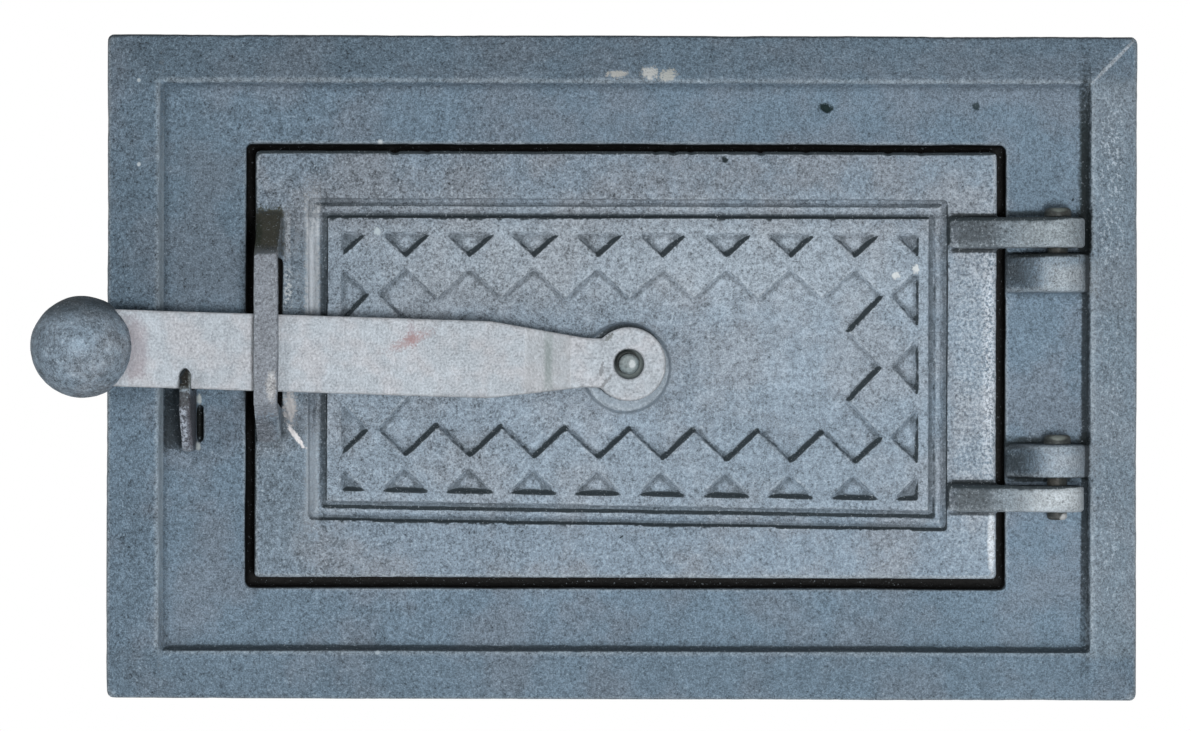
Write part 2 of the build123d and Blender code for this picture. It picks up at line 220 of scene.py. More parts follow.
def flatSteel(name, look):
    # rolled flat steel: a thin pale scale, faint rolling lines, stains, dark nicked edges, and dirt with
    # painted shade in the hollows
    material, place = newFinish(name)
    ridge = place.add("ShaderNodeAttribute", {"attribute_name": "ridge"}, take=2)
    cloud, blotch, grain = [noise(place, *steelNoises[key]) for key in ("cloud", "blotch", "grain")]
    lines = noise(stretched(place, *rolling), *steelNoises["lines"])
    tone = 1 + (cloud - 0.5) * look["cloud"] + (blotch - 0.5) * look["blotch"]
    tone = tone + (grain - 0.5) * look["grain"] + (lines - 0.5) * look["lines"]
    tone = tone + part(place, 0) * (look["lightAndToneToRight"] / 100)
    warmth = noise(place, *steelNoises["warmth"]).step(*steelWarm)
    colour = toned(mixed(warmth, look["cool"], look["warm"]), tone.above(darkest))
    rubbed = (ridge + (grain - 0.5) * 0.3).step(*look["rubbedFrom"]) * look["rubbed"]
    # dirt and painted shade in the hollows
    dirtAndShade = (0 - ridge + (blotch - 0.5) * 0.3).step(*look["hollowDirtAndShadeFrom"]) * look["hollowDirtAndShade"]
    colour = mixed(rubbed, colour, look["bright"])
    colour = mixed(dirtAndShade, colour, look["dark"])
    colour = painted(colour, place, {"coarse": blotch, "mid": grain, "fine": lines}, look["marks"])
    height = blotch * look["blotchHeight"] + grain * look["grainHeight"] + lines * look["lineHeight"]
    normal = place.add("ShaderNodeBump", None, {"Height": height, "Distance": mm, "Strength": 1.0})
    roughness = look["roughness"] + (blotch - 0.5) * 0.2 + (lines - 0.5) * 0.1 + dirtAndShade * 0.2
    endFinish(place, {"Base Color": colour, "Roughness": roughness, "Normal": normal,
                      "Metallic": look["metal"], "Specular IOR Level": look["specular"]})
    return material


# Mesh work: points closer than the weld are one, and a face looks to the front past this normal
weld, facingFront = 0.002, -0.3


def coordinates(mesh):
    points = np.empty(len(mesh.vertices) * 3)
    mesh.vertices.foreach_get("co", points)
    return points.reshape(-1, 3)


def normals(mesh):
    directions = np.empty(len(mesh.vertices) * 3)
    mesh.vertex_normals.foreach_get("vector", directions)
    return directions.reshape(-1, 3)


def frontView(points):
    # right, up and out of the wall, in mm
    return points[:, 0] / mm, points[:, 2] / mm, -points[:, 1] / mm


def modify(piece, kind, **settings):
    modifier = piece.modifiers.new(kind.lower(), kind)
    for name, value in settings.items():
        setattr(modifier, name, value)


def settle(piece):
    # the mesh as its modifiers make it
    graph = bpy.context.evaluated_depsgraph_get()
    made = bpy.data.meshes.new_from_object(piece.evaluated_get(graph))
    piece.modifiers.clear()
    piece.data = made


def neighbourMean(values, first, second, count):
    total = np.empty_like(values)
    for axis in range(values.shape[1]):
        total[:, axis] = (np.bincount(first, values[second, axis], len(values))
                          + np.bincount(second, values[first, axis], len(values)))
    return total / count[:, None]


def markRidges(mesh, passes, full):
    # a value on each point: above 0 on ridges, below 0 in hollows, 1 where the bend is full
    points, directions = coordinates(mesh), normals(mesh)
    edges = np.empty(len(mesh.edges) * 2, np.int32)
    mesh.edges.foreach_get("vertices", edges)
    first, second = edges.reshape(-1, 2).T
    count = np.bincount(first, minlength=len(points)) + np.bincount(second, minlength=len(points))
    count = np.maximum(count, 1)
    mean = points
    for _ in range(passes):
        mean = neighbourMean(mean, first, second, count)
    bend = ((points - mean) * directions).sum(1) / (full * mm)
    values = np.clip(bend, -1, 1)[:, None]
    for _ in range(2):
        values = neighbourMean(values, first, second, count)
    attribute = mesh.attributes.new("ridge", "FLOAT", "POINT")
    attribute.data.foreach_set("value", values[:, 0].astype(np.float32))


def press(points, facing, dent):
    # pushes a soft oval into what faces the front
    x, z, height = frontView(points)
    away = np.hypot((x - dent["at"][0]) / dent["size"][0], (z - dent["at"][1]) / dent["size"][1])
    depth = np.clip(1 - away ** 2, 0, 1) ** 1.5 * dent["deep"]
    points[:, 1] += depth * mm * (facing[:, 1] < facingFront)


def keepInside(mesh, points, node):
    # gives the mesh these points, none of them outside the node's box
    low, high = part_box(node)
    points = np.clip(points, np.array(low), np.array(high))
    mesh.vertices.foreach_set("co", points.ravel())
    mesh.update()


def castPiece(node, body, recipe, shape=None):
    # a copy of the node with the skin of a casting: soft edges, slight waves, dents
    piece = bpy.data.objects.new(recipe["name"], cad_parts[node].data.copy())
    bpy.context.scene.collection.objects.link(piece)
    piece.data.materials.clear()
    modify(piece, "WELD", merge_threshold=weld * mm)
    modify(piece, "REMESH", mode="VOXEL", voxel_size=recipe["voxel"] * mm, use_smooth_shade=True)
    modify(piece, "SMOOTH", factor=0.5, iterations=recipe["soften"])
    for size, rise in recipe["waves"]:
        wave = bpy.data.textures.new(recipe["name"] + "Wave", "CLOUDS")
        wave.noise_scale, wave.noise_depth = size * mm, 1
        modify(piece, "DISPLACE", texture=wave, texture_coords="LOCAL", strength=rise * mm, mid_level=0.5)
    settle(piece)
    points = coordinates(piece.data)
    if shape:
        shape(points, normals(piece.data))
    keepInside(piece.data, points, node)
    markRidges(piece.data, recipe["ridgePasses"], recipe["ridgeFull"])
    faces = sum(len(p.vertices) - 2 for p in piece.data.polygons)
    if faces > recipe["triangles"]:
        modify(piece, "DECIMATE", ratio=recipe["triangles"] / faces)
        settle(piece)
        keepInside(piece.data, coordinates(piece.data), node)
    piece.data.shade_smooth()
    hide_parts(node)
    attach(piece, body)
    print(recipe["name"], "points", len(piece.data.vertices), "triangles",
          sum(len(p.vertices) - 2 for p in piece.data.polygons))
    return piece


# Wall frame: flange, hipped rim, lugs, hook and collar in one casting
frameRecipe = {
    "name": "wallFrame", "voxel": 0.7, "soften": 1, "triangles": 190000,
    "ridgePasses": 2, "ridgeFull": 0.12,
    "waves": [(34.0, 0.5), (9.0, 0.2), (2.4, 0.16)],
    "dents": [
        {"at": (53.2, 68.2), "size": (2.6, 1.9), "deep": 1.1},
        {"at": (92.6, 68.6), "size": (1.5, 1.6), "deep": 0.9},
        {"at": (-70.0, 26.0), "size": (1.6, 1.2), "deep": 0.3},
        {"at": (-12.0, -74.0), "size": (2.0, 1.4), "deep": 0.3},
        {"at": (61.0, -65.0), "size": (1.4, 1.4), "deep": 0.3},
    ],
    "hookTip": {"x": -112.7, "half": 1.4, "from": -5.0, "top": -0.35, "drop": 1.5, "above": 15.0},
}
frameLook = {
    "cool": (0.141, 0.201, 0.260), "warm": (0.155, 0.199, 0.248), "bright": (0.34, 0.39, 0.43),
    "dark": (0.020, 0.028, 0.034), "cloud": 0.35, "mottle": 0.8, "grain": 1.9, "sand": 1.6,
    "lightAndToneToRight": 0.08, "paintedLightToTop": -0.04,
    "rubbedFrom": (0.25, 0.9), "rubbed": 0.5, "hollowDirtAndShadeFrom": (0.3, 1.0), "hollowDirtAndShade": 0.3,
    "shadedSide": (-0.5, 0.0, 0.86), "shadedSideFrom": (0.34, 0.6), "facingShade": 0.8,
    "glintFrom": (0.36, 0.45), "glint": 0.45, "roughness": 0.62, "metal": 0.08, "specular": 0.15,
    "mottleHeight": 0.5, "grainHeight": 0.4, "sandHeight": 0.08,
    "spots": [
        # pits and pale patches along the top
        {"at": (53.2, 68.2), "size": (2.1, 1.4), "colour": (0.010, 0.022, 0.024), "turn": -18},
        {"at": (92.6, 68.6), "size": (1.1, 1.2), "colour": (0.020, 0.036, 0.042), "share": 0.9},
        {"at": (26.8, 54.4), "size": (0.9, 0.9), "colour": (0.02, 0.03, 0.035), "share": 0.8},
        {"at": (-1.4, 76.6), "size": (2.6, 1.0), "colour": (0.42, 0.43, 0.42), "fray": 2.4},
        {"at": (7.2, 77.0), "size": (2.2, 1.8), "colour": (0.48, 0.50, 0.50), "fray": 2.2},
        {"at": (12.0, 76.4), "size": (2.4, 1.6), "colour": (0.40, 0.42, 0.41), "fray": 2.6},
        {"at": (-126.4, 74.8), "size": (0.6, 0.6), "colour": (0.40, 0.46, 0.50), "fray": 1.2},
        {"at": (-126.4, 52.8), "size": (0.6, 0.6), "colour": (0.44, 0.50, 0.54), "fray": 1.2},
        {"at": (-63.6, -74.6), "size": (0.7, 0.6), "colour": (0.32, 0.38, 0.43), "fray": 1.2},
        {"at": (-63.4, 58.8), "size": (0.8, 0.8), "colour": (0.50, 0.55, 0.58), "heights": (2.5, 6.0)},
        # painted shade along the right riser, which faces away from the lamp, darkest beside the hinges where
        # the straps' painted shadows fall
        {"at": (120.9, 50.0), "size": (1.3, 24.5), "colour": (0.014, 0.022, 0.022), "square": True,
         "share": 0.85, "fray": 0.9, "edge": (0.5, 1.4)},
        {"at": (120.9, 36.0), "size": (2.2, 7.0), "colour": (0.008, 0.012, 0.012), "square": True,
         "share": 0.9, "fray": 0.8, "heights": (2.0, 6.4)},
        {"at": (121.0, -23.0), "size": (1.9, 7.5), "colour": (0.010, 0.014, 0.014),
         "share": 0.85, "fray": 0.8, "heights": (2.0, 6.4)},
        {"at": (121.2, 0.0), "size": (1.0, 74.0), "colour": (0.008, 0.012, 0.014), "square": True,
         "share": 0.85, "fray": 0.7, "edge": (0.6, 1.3)},
        # painted shade in the gaps between the knuckles, and painted shadows on the band above the upper
        # strap and the lower lug
        {"at": (110.0, 29.7), "size": (9.5, 0.9), "colour": (0.010, 0.014, 0.014), "square": True,
         "share": 0.85, "fray": 0.5},
        {"at": (110.0, -28.9), "size": (9.5, 0.9), "colour": (0.010, 0.014, 0.014), "square": True,
         "share": 0.85, "fray": 0.5},
        {"at": (110.0, -19.0), "size": (10.4, 1.5), "colour": (0.016, 0.022, 0.022), "square": True,
         "share": 0.75, "fray": 0.8, "edge": (0.3, 1.3), "heights": (2.0, 6.0)},
        {"at": (108.4, 40.6), "size": (10.0, 0.8), "colour": (0.016, 0.022, 0.022), "square": True,
         "share": 0.7, "fray": 0.8, "edge": (0.4, 1.3), "heights": (2.0, 6.0)},
        # painted shade in the opening and in the hook's slot, with painted highlights at the slot's ends
        {"at": (0.9, 0.3), "size": (99.7, 58.3), "colour": (0.008, 0.008, 0.008), "square": True,
         "fray": 0.0, "edge": (0.999, 1.004), "heights": (-60.0, 2.8)},
        {"at": (-110.5, -14.8), "size": (1.3, 5.4), "colour": (0.006, 0.008, 0.008), "square": True,
         "fray": 0.3, "heights": (-2.0, 3.2)},
        {"at": (-110.6, -8.6), "size": (0.7, 1.5), "colour": (0.42, 0.46, 0.46), "share": 0.8,
         "heights": (3.0, 6.0)},
        {"at": (-111.0, -20.9), "size": (0.8, 1.2), "colour": (0.42, 0.46, 0.46), "share": 0.8,
         "heights": (3.0, 6.0)},
        # painted shadow of the hook and bar on the band left of the hook
        {"at": (-117.0, -13.4), "size": (3.1, 8.6), "colour": (0.010, 0.014, 0.016), "square": True,
         "share": 0.85, "fray": 0.5, "edge": (0.75, 1.25), "heights": (2.0, 5.2)},
        # painted light on the left riser, which faces the lamp
        {"at": (-120.5, 0.0), "size": (0.6, 73.0), "colour": (0.30, 0.36, 0.41), "square": True,
         "share": 0.55, "fray": 1.2},
    ],
    "freeOfDirtAndShade": [
        # neither dirt nor painted shade on the slopes of the hinge lugs
        {"at": (117.0, 24.1), "size": (15.0, 5.2), "square": True, "fray": 0.2, "edge": (0.6, 1.0)},
        {"at": (117.0, -23.6), "size": (15.0, 4.6), "square": True, "fray": 0.2, "edge": (0.6, 1.0)},
    ],
    "behind": (0.075, 0.092, 0.108),
    "marks": [
        # darker lower right of the sunk band, and painted shade on its upper left where the lamp's light
        # falls off
        {"at": (70.0, -72.0), "size": (66.0, 20.0), "colour": (0.060, 0.100, 0.130), "share": 0.15,
         "fray": 0.1, "edge": (0.4, 1.3)},
        {"at": (-114.0, 38.0), "size": (30.0, 44.0), "colour": (0.060, 0.100, 0.130), "share": 0.18,
         "fray": 0.1, "edge": (0.3, 1.2)},
        # painted shade on the top and bottom rims and painted light on the right one, which is pebbly, with a
        # painted highlight on the mitre above it
        {"at": (0.0, 80.5), "size": (136.0, 7.2), "colour": (0.080, 0.112, 0.140), "square": True,
         "share": 0.24, "edge": (0.98, 1.02), "fray": 0.1},
        {"at": (0.0, -80.5), "size": (136.0, 7.2), "colour": (0.080, 0.112, 0.140), "square": True,
         "share": 0.22, "edge": (0.98, 1.02), "fray": 0.1},
        {"at": (128.8, 0.0), "size": (7.4, 76.0), "colour": (0.25, 0.30, 0.34), "square": True,
         "share": 0.36, "edge": (0.97, 1.02), "fray": 0.06},
        {"at": (128.2, 80.2), "size": (9.6, 0.55), "colour": (0.36, 0.41, 0.46), "turn": 45, "share": 0.8},
        {"at": (128.5, 48.0), "size": (5.5, 30.0), "colour": (0.40, 0.46, 0.52), "square": True,
         "speckle": (0.54, 0.62), "share": 0.6, "heights": (3.8, 8.0)},
        {"at": (128.5, -20.0), "size": (5.5, 60.0), "colour": (0.36, 0.42, 0.48), "square": True,
         "speckle": (0.56, 0.66), "share": 0.5, "heights": (3.8, 8.0)},
        # hinge lugs: painted highlight on the knuckles, which face the lamp, and painted shade on their left
        # ends, which face away
        {"at": (115.4, 23.9), "size": (9.0, 4.6), "colour": (0.39, 0.43, 0.46), "square": True,
         "share": 0.75, "fray": 1.0, "edge": (0.1, 1.3), "heights": (4.8, 20.0)},
        {"at": (115.4, -24.1), "size": (9.0, 4.0), "colour": (0.32, 0.36, 0.40), "square": True,
         "share": 0.75, "fray": 1.0, "edge": (0.1, 1.3), "heights": (4.8, 20.0)},
        {"at": (101.4, 25.4), "size": (6.0, 5.6), "colour": (0.050, 0.056, 0.060), "square": True,
         "share": 0.8, "fray": 0.8, "edge": (0.1, 1.4), "heights": (3.2, 16.0)},
        {"at": (101.8, -24.6), "size": (6.4, 5.4), "colour": (0.038, 0.046, 0.050), "square": True,
         "share": 0.8, "fray": 0.8, "edge": (0.1, 1.4), "heights": (3.2, 16.0)},
        # hook: black tip with a grey right side, and a painted highlight streaked down the bright nose below
        # it
        {"at": (-111.2, -14.0), "size": (0.7, 9.0), "colour": (0.045, 0.042, 0.046), "square": True,
         "share": 0.85, "heights": (4.5, 30.0)},
        {"at": (-113.2, -15.0), "size": (2.2, 8.0), "colour": (0.11, 0.11, 0.13), "square": True,
         "share": 0.8, "heights": (10.0, 30.0)},
        {"at": (-113.4, -15.8), "size": (1.3, 6.4), "colour": (0.37, 0.42, 0.49), "square": True,
         "share": 0.85, "speckle": (0.40, 0.58), "heights": (10.0, 30.0)},
        {"at": (-113.2, -8.4), "size": (1.8, 2.4), "colour": (0.055, 0.058, 0.062), "square": True,
         "share": 0.8, "heights": (10.0, 30.0)},
        {"at": (-112.6, -2.9), "size": (2.4, 3.1), "colour": (0.20, 0.22, 0.21), "square": True,
         "share": 0.8, "heights": (14.0, 30.0)},
        {"at": (-113.3, -2.9), "size": (1.9, 3.1), "colour": (0.012, 0.012, 0.010), "square": True,
         "fray": 0.5, "heights": (14.0, 30.0)},
    ],
}


def shapeFrame(points, facing):
    for dent in frameRecipe["dents"]:
        press(points, facing, dent)
    x, z, height = frontView(points)
    tip = frameRecipe["hookTip"]
    share = np.clip((z - tip["from"]) / (tip["top"] - tip["from"]), 0, 1)
    share = share * (height > tip["above"]) * (np.abs(x - tip["x"]) < 2 * tip["half"])
    points[:, 2] -= share * tip["drop"] * np.clip(np.abs(x - tip["x"]) / tip["half"], 0, 1) ** 2 * mm


wallFrame = castPiece("frame", "frame", frameRecipe, shapeFrame)
wallFrame.data.materials.append(castIron("frameIron", frameLook))

# Door leaf: plate, moulding, lozenges, boss, bow and straps in one casting
doorRecipe = {
    "name": "doorLeaf", "voxel": 0.5, "soften": 1, "triangles": 195000,
    "ridgePasses": 2, "ridgeFull": 0.09,
    "waves": [(28.0, 0.4), (7.0, 0.18), (2.0, 0.14)],
    "dents": [
        {"at": (26.7, 54.6), "size": (0.9, 1.0), "deep": 0.8},
        {"at": (-76.0, 5.0), "size": (1.5, 2.5), "deep": 0.25},
    ],
    "topNicks": [(-59.5, 1.3, 0.6), (-51.0, 1.0, 0.35), (8.6, 0.9, 0.35), (13.2, 1.3, 0.5), (17.8, 1.0, 0.35),
                 (36.2, 1.1, 0.5), (48.0, 0.9, 0.35), (69.5, 1.1, 0.45), (78.0, 0.9, 0.3)],
    "topEdge": {"from": 54.5, "over": 2.0, "above": 2.5}, "front": 3.0,
    "fin": {"from": (-88.6, -6.5), "to": (-84.0, -21.0), "wide": 1.3, "high": 1.0, "taper": 0.75, "low": 0.4},
    "seat": {"at": (1.8, 0.9), "from": 8.0, "rise": 1.5, "to": 15.5, "fall": 2.5, "shift": (-0.8, -1.0)},
}
doorLook = {
    "cool": (0.194, 0.251, 0.310), "warm": (0.212, 0.248, 0.290), "bright": (0.43, 0.48, 0.52),
    "dark": (0.026, 0.036, 0.042), "cloud": 0.4, "mottle": 1.1, "grain": 2.0, "sand": 1.5,
    "lightAndToneToRight": 0.14, "paintedLightToTop": -0.14,
    "rubbedFrom": (0.25, 0.9), "rubbed": 0.45, "hollowDirtAndShadeFrom": (0.3, 0.9), "hollowDirtAndShade": 0.55,
    "shadedSide": (-0.45, 0.0, 0.89), "shadedSideFrom": (0.15, 0.41), "facingShade": 0.95, "behind": (0.040, 0.042, 0.044),
    "freeOfDirtAndShade": [
        # neither dirt nor painted shade on the outer side of the moulding and the round seat under the eye
        {"at": (4.0, 43.6), "size": (86.0, 1.6), "square": True, "share": 0.7, "fray": 0.3},
        {"at": (-81.2, 1.0), "size": (1.8, 42.0), "square": True, "share": 0.9, "fray": 0.3},
        {"at": (1.8, 0.9), "size": (15.5, 15.5), "fray": 0.0, "edge": (0.95, 1.05)},
    ],
    "glintFrom": (0.35, 0.44), "glint": 0.5, "roughness": 0.60, "metal": 0.08, "specular": 0.15,
    "mottleHeight": 0.45, "grainHeight": 0.4, "sandHeight": 0.08,
    "spots": [
        {"at": (26.7, 54.4), "size": (0.8, 0.9), "colour": (0.02, 0.03, 0.035)},
        {"at": (71.6, 24.2), "size": (1.2, 1.0), "colour": (0.60, 0.64, 0.66), "fray": 2.4},
        {"at": (76.8, 25.8), "size": (1.0, 1.1), "colour": (0.60, 0.64, 0.66), "fray": 2.4},
        {"at": (-64.0, 35.4), "size": (1.0, 1.0), "colour": (0.42, 0.49, 0.53), "fray": 2.0},
        # painted highlight on the outer side of the moulding's left run, and painted shade along the inner
        # side of its left and top runs
        {"at": (-80.9, 25.0), "size": (2.1, 19.5), "colour": (0.66, 0.70, 0.74), "square": True,
         "share": 0.65, "fray": 1.8, "edge": (0.3, 1.2), "heights": (3.8, 8.0)},
        {"at": (-85.6, 28.0), "size": (3.2, 15.0), "colour": (0.44, 0.46, 0.48), "share": 0.15,
         "speckle": (0.42, 0.62), "rag": "coarse", "heights": (3.8, 8.0)},
        {"at": (-80.9, -28.0), "size": (2.0, 14.0), "colour": (0.40, 0.45, 0.50), "square": True,
         "share": 0.5, "fray": 1.6, "edge": (0.3, 1.2), "heights": (3.8, 8.0)},
        {"at": (-78.1, 1.0), "size": (0.9, 38.5), "colour": (0.020, 0.030, 0.036), "square": True,
         "share": 0.75, "fray": 0.8, "edge": (0.4, 1.4), "heights": (3.4, 6.6)},
        {"at": (4.0, 39.6), "size": (81.0, 0.5), "colour": (0.016, 0.024, 0.030), "square": True,
         "share": 0.8, "fray": 0.4, "edge": (0.4, 1.4), "heights": (3.4, 6.6)},
        # painted light over the seat's shaded edge, and a painted shadow of the eye at its upper left
        {"at": (1.0, -0.1), "size": (12.5, 12.5), "colour": (0.40, 0.46, 0.51), "share": 0.3,
         "fray": 0.4, "edge": (0.88, 1.04)},
        {"at": (1.0, -0.1), "size": (10.9, 10.9), "colour": (0.25, 0.30, 0.35), "share": 0.5,
         "fray": 0.4, "edge": (0.93, 1.03)},
        {"at": (1.2, 1.5), "size": (10.1, 10.1), "colour": (0.018, 0.026, 0.030), "share": 0.9,
         "fray": 0.1, "edge": (0.95, 1.03)},
        # painted shadows along the straps' edges where they leave the door
        {"at": (92.0, 39.9), "size": (7.4, 0.7), "colour": (0.014, 0.018, 0.020), "square": True,
         "share": 0.85, "fray": 0.6, "heights": (4.6, 6.6)},
        {"at": (92.0, 30.8), "size": (7.4, 0.7), "colour": (0.014, 0.018, 0.020), "square": True,
         "share": 0.85, "fray": 0.6, "heights": (4.6, 6.6)},
        {"at": (92.0, -29.7), "size": (7.4, 0.7), "colour": (0.014, 0.018, 0.020), "square": True,
         "share": 0.85, "fray": 0.6, "heights": (4.6, 6.6)},
        {"at": (92.0, -37.9), "size": (7.4, 0.6), "colour": (0.014, 0.018, 0.020), "square": True,
         "share": 0.7, "fray": 0.6, "heights": (4.6, 6.6)},
        # pale cast ridge beside the bow's lower leg
        {"at": (-86.6, -10.4), "size": (1.8, 5.0), "colour": (0.50, 0.49, 0.49), "share": 0.8,
         "fray": 2.8, "edge": (0.3, 1.2), "heights": (4.0, 9.0)},
        {"at": (-85.1, -18.2), "size": (0.7, 4.4), "colour": (0.74, 0.73, 0.74), "turn": 36,
         "fray": 1.8, "heights": (4.0, 9.0)},
        {"at": (-87.2, 20.0), "size": (1.2, 6.5), "colour": (0.50, 0.54, 0.56), "square": True,
         "speckle": (0.50, 0.58), "share": 0.8, "heights": (4.0, 9.0)},
        # worn front of the bow, and its brownish upper leg
        {"at": (-92.6, 35.4), "size": (4.4, 6.0), "colour": (0.062, 0.060, 0.044), "square": True,
         "share": 0.75, "fray": 0.9, "edge": (0.6, 1.1), "heights": (5.0, 30.0)},
        {"at": (-94.8, 33.6), "size": (1.6, 5.0), "colour": (0.020, 0.026, 0.018), "share": 0.8,
         "heights": (5.0, 30.0)},
        {"at": (-91.9, 9.0), "size": (3.6, 22.0), "colour": (0.21, 0.23, 0.26), "square": True,
         "share": 0.25, "fray": 0.4, "edge": (0.95, 1.02), "heights": (15.0, 30.0)},
        # painted shade on the edges below the face, and behind
        {"at": (1.0, 0.7), "size": (130.0, 90.0), "colour": (0.010, 0.010, 0.010), "square": True,
         "fray": 0.0, "share": 0.92, "heights": (-60.0, 3.1)},
    ],
    "marks": [
        # paler panel inside the moulding, painted light over its upper part, darker towards the lower right,
        # and painted shade at the left where the lamp's light falls off
        {"at": (1.6, -0.7), "size": (80.0, 38.0), "colour": (0.36, 0.43, 0.50), "square": True,
         "share": 0.26, "fray": 0.06, "edge": (0.97, 1.01)},
        {"at": (2.0, 30.0), "size": (84.0, 16.0), "colour": (0.48, 0.52, 0.56), "square": True,
         "share": 0.24, "fray": 0.1, "edge": (0.4, 1.2)},
        {"at": (46.0, -24.0), "size": (36.0, 18.0), "colour": (0.12, 0.17, 0.22), "square": True,
         "share": 0.18, "fray": 0.1, "edge": (0.4, 1.4)},
        {"at": (-90.0, -12.0), "size": (9.0, 46.0), "colour": (0.10, 0.14, 0.17), "square": True,
         "share": 0.30, "fray": 0.1, "edge": (0.5, 1.3), "heights": (3.0, 8.0)},
        # bow: worn front, dark upper leg, pale cast ridge beside it
        {"at": (-91.9, 9.0), "size": (3.6, 22.0), "colour": (0.242, 0.264, 0.298), "square": True,
         "share": 0.8, "fray": 0.4, "edge": (0.95, 1.02), "heights": (15.0, 30.0)},
        {"at": (-90.4, -5.0), "size": (1.5, 4.2), "colour": (0.56, 0.56, 0.56), "share": 0.75,
         "fray": 1.5, "heights": (15.0, 30.0)},
        {"at": (-93.0, -17.0), "size": (3.6, 5.0), "colour": (0.16, 0.17, 0.19), "share": 0.6,
         "heights": (7.0, 20.0)},
        {"at": (-93.0, 35.6), "size": (4.2, 6.0), "colour": (0.048, 0.056, 0.038), "square": True,
         "share": 0.92, "fray": 1.2, "edge": (0.75, 1.1)},
        {"at": (-90.4, 35.4), "size": (1.6, 5.0), "colour": (0.075, 0.060, 0.048), "share": 0.7},
        {"at": (-87.5, 34.6), "size": (0.9, 6.2), "colour": (0.38, 0.42, 0.46), "square": True,
         "share": 0.7, "fray": 1.3, "heights": (4.0, 9.0)},
        # straps: darker tone, painted shade on the slopes where they leave the door, which face away from the
        # lamp, and a painted highlight on the knuckles
        {"at": (104.0, 35.3), "size": (16.5, 5.0), "colour": (0.180, 0.215, 0.238), "square": True,
         "share": 0.7, "edge": (0.95, 1.05), "fray": 0.05, "heights": (6.8, 30.0)},
        {"at": (104.0, -33.8), "size": (16.5, 4.6), "colour": (0.195, 0.230, 0.252), "square": True,
         "share": 0.7, "edge": (0.95, 1.05), "fray": 0.05, "heights": (6.8, 30.0)},
        {"at": (90.5, 35.3), "size": (8.0, 4.4), "colour": (0.045, 0.054, 0.062), "square": True,
         "share": 0.75, "fray": 0.8, "edge": (0.4, 1.3), "heights": (6.4, 14.0)},
        {"at": (110.8, 35.3), "size": (9.6, 4.6), "colour": (0.265, 0.305, 0.33), "square": True,
         "share": 0.8, "fray": 1.0, "edge": (0.3, 1.2), "heights": (9.5, 30.0)},
        {"at": (90.5, -33.8), "size": (8.0, 4.0), "colour": (0.050, 0.060, 0.068), "square": True,
         "share": 0.72, "fray": 0.8, "edge": (0.4, 1.3), "heights": (6.4, 14.0)},
        {"at": (113.0, -33.8), "size": (9.6, 4.2), "colour": (0.41, 0.45, 0.48), "square": True,
         "share": 0.85, "fray": 1.0, "edge": (0.3, 1.2), "heights": (9.5, 30.0)},
        # painted light on the door's right border, which is pebbly, and a painted highlight on its edge most
        # of all
        {"at": (96.0, 0.0), "size": (12.0, 53.0), "colour": (0.50, 0.53, 0.56), "square": True,
         "speckle": (0.36, 0.70), "share": 0.32, "fray": 0.1, "edge": (0.5, 1.1), "heights": (3.0, 8.0)},
        {"at": (95.8, 4.0), "size": (2.2, 50.0), "colour": (0.50, 0.54, 0.59), "square": True,
         "speckle": (0.40, 0.60), "share": 0.75, "fray": 1.6, "edge": (0.2, 1.2), "heights": (4.0, 8.0)},
        {"at": (96.6, -45.0), "size": (1.1, 9.0), "colour": (0.58, 0.62, 0.66), "share": 0.7,
         "heights": (4.0, 8.0)},
    ],
}


def shapeDoor(points, facing):
    for dent in doorRecipe["dents"]:
        press(points, facing, dent)
    x, z, height = frontView(points)
    edge = doorRecipe["topEdge"]
    onEdge = np.clip((z - edge["from"]) / edge["over"], 0, 1) * (height > edge["above"])
    for at, wide, deep in doorRecipe["topNicks"]:
        points[:, 2] -= np.clip(1 - ((x - at) / wide) ** 2, 0, 1) * onEdge * deep * mm
    seat = doorRecipe["seat"]
    away = np.hypot(x - seat["at"][0], z - seat["at"][1])
    share = np.clip((away - seat["from"]) / seat["rise"], 0, 1) * (height > doorRecipe["front"])
    share = share * np.clip((seat["to"] - away) / seat["fall"], 0, 1)
    points[:, 0] += share * seat["shift"][0] * mm
    points[:, 2] += share * seat["shift"][1] * mm
    fin = doorRecipe["fin"]
    start, end = np.array(fin["from"]), np.array(fin["to"])
    run = end - start
    along = np.clip(((x - start[0]) * run[0] + (z - start[1]) * run[1]) / (run @ run), 0, 1)
    aside = np.hypot(x - start[0] - along * run[0], z - start[1] - along * run[1])
    taper = 1 - fin["taper"] * along
    rise = np.clip(1 - (aside / (fin["wide"] * taper)) ** 2, 0, 1) * fin["high"]
    rise = rise * (fin["low"] + (1 - fin["low"]) * taper)
    points[:, 1] -= rise * mm * (facing[:, 1] < facingFront) * (height > doorRecipe["front"])


doorLeaf = castPiece("door", "door", doorRecipe, shapeDoor)
doorLeaf.data.materials.append(castIron("doorIron", doorLook))

